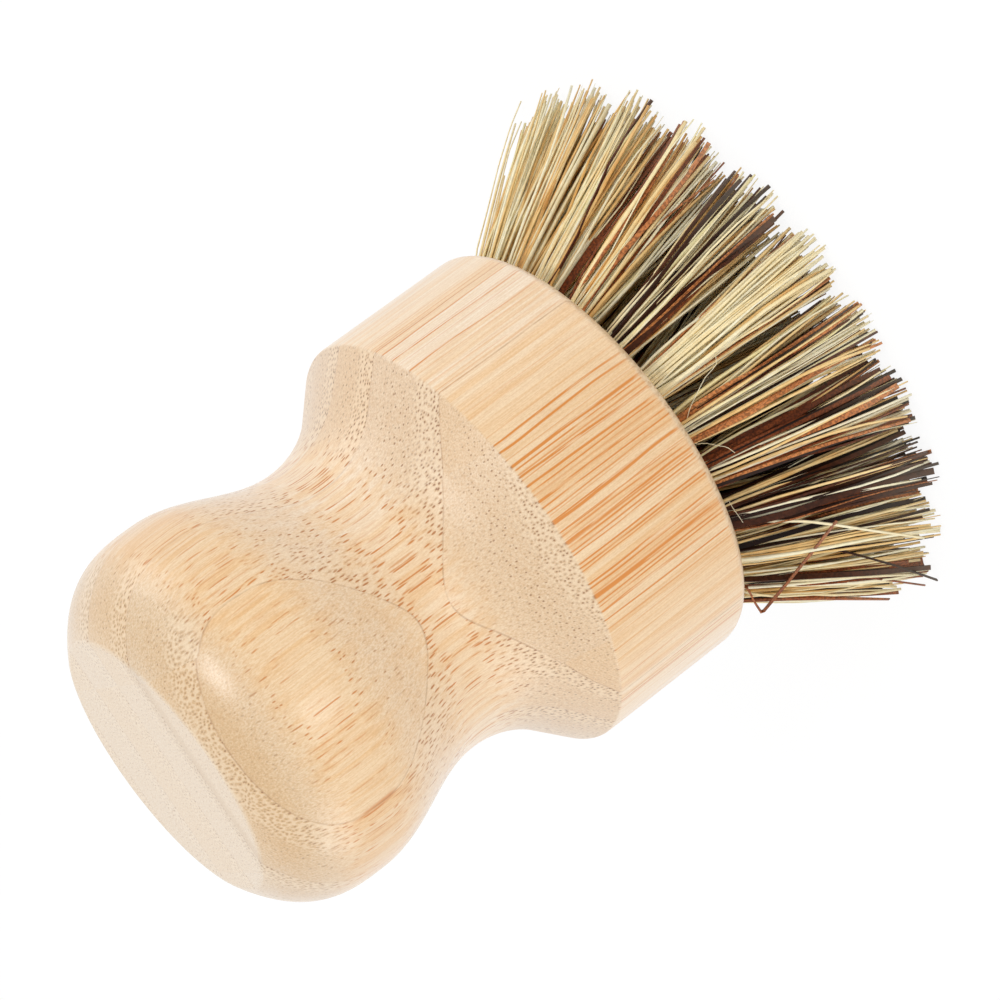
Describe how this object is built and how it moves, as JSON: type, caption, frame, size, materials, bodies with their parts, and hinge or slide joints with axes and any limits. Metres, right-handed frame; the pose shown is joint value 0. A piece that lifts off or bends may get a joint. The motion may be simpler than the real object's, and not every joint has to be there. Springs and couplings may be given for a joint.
{
  "type": "dish brush",
  "caption": "Palm brush with a turned bamboo head and knob, and splayed tufts of mixed plant fibre set in a round face.",
  "frame": {"origin": "on the brush's axis, in the plane of the bristle tips that it stands on", "axes": "+Z along the axis, from the bristle tips to the knob's flat; -Y is the side that the picture shows"},
  "size_m": [0.0732, 0.0732, 0.0868],
  "materials": {
    "bamboo": "pale laminated bamboo under a thin satin lacquer",
    "plant_fibre": "stiff straw and palm fibres, cream, orange-brown and nearly black",
    "anchor_wire": "flat galvanised wire"
  },
  "bodies": {
    "root": {"handle": "bamboo", "tuft_outer_01": "plant_fibre", "tuft_outer_02": "plant_fibre", "tuft_outer_03": "plant_fibre", "tuft_outer_04": "plant_fibre", "tuft_outer_05": "plant_fibre", "tuft_outer_06": "plant_fibre", "tuft_outer_07": "plant_fibre", "tuft_outer_08": "plant_fibre", "tuft_outer_09": "plant_fibre", "tuft_outer_10": "plant_fibre", "tuft_outer_11": "plant_fibre", "tuft_outer_12": "plant_fibre", "tuft_outer_13": "plant_fibre", "tuft_outer_14": "plant_fibre", "tuft_outer_15": "plant_fibre", "tuft_outer_16": "plant_fibre", "tuft_outer_17": "plant_fibre", "tuft_outer_18": "plant_fibre", "tuft_outer_19": "plant_fibre", "tuft_outer_20": "plant_fibre", "tuft_outer_21": "plant_fibre", "tuft_outer_22": "plant_fibre", "tuft_inner_01": "plant_fibre", "tuft_inner_02": "plant_fibre", "tuft_inner_03": "plant_fibre", "tuft_inner_04": "plant_fibre", "tuft_inner_05": "plant_fibre", "tuft_inner_06": "plant_fibre", "tuft_centre": "plant_fibre", "anchor_outer_01": "anchor_wire", "anchor_outer_02": "anchor_wire", "anchor_outer_03": "anchor_wire", "anchor_outer_04": "anchor_wire", "anchor_outer_05": "anchor_wire", "anchor_outer_06": "anchor_wire", "anchor_outer_07": "anchor_wire", "anchor_outer_08": "anchor_wire", "anchor_outer_09": "anchor_wire", "anchor_outer_10": "anchor_wire", "anchor_outer_11": "anchor_wire", "anchor_outer_12": "anchor_wire", "anchor_outer_13": "anchor_wire", "anchor_outer_14": "anchor_wire", "anchor_outer_15": "anchor_wire", "anchor_outer_16": "anchor_wire", "anchor_outer_17": "anchor_wire", "anchor_outer_18": "anchor_wire", "anchor_outer_19": "anchor_wire", "anchor_outer_20": "anchor_wire", "anchor_outer_21": "anchor_wire", "anchor_outer_22": "anchor_wire", "anchor_inner_01": "anchor_wire", "anchor_inner_02": "anchor_wire", "anchor_inner_03": "anchor_wire", "anchor_inner_04": "anchor_wire", "anchor_inner_05": "anchor_wire", "anchor_inner_06": "anchor_wire", "anchor_centre": "anchor_wire"}
  },
  "joints": []
}
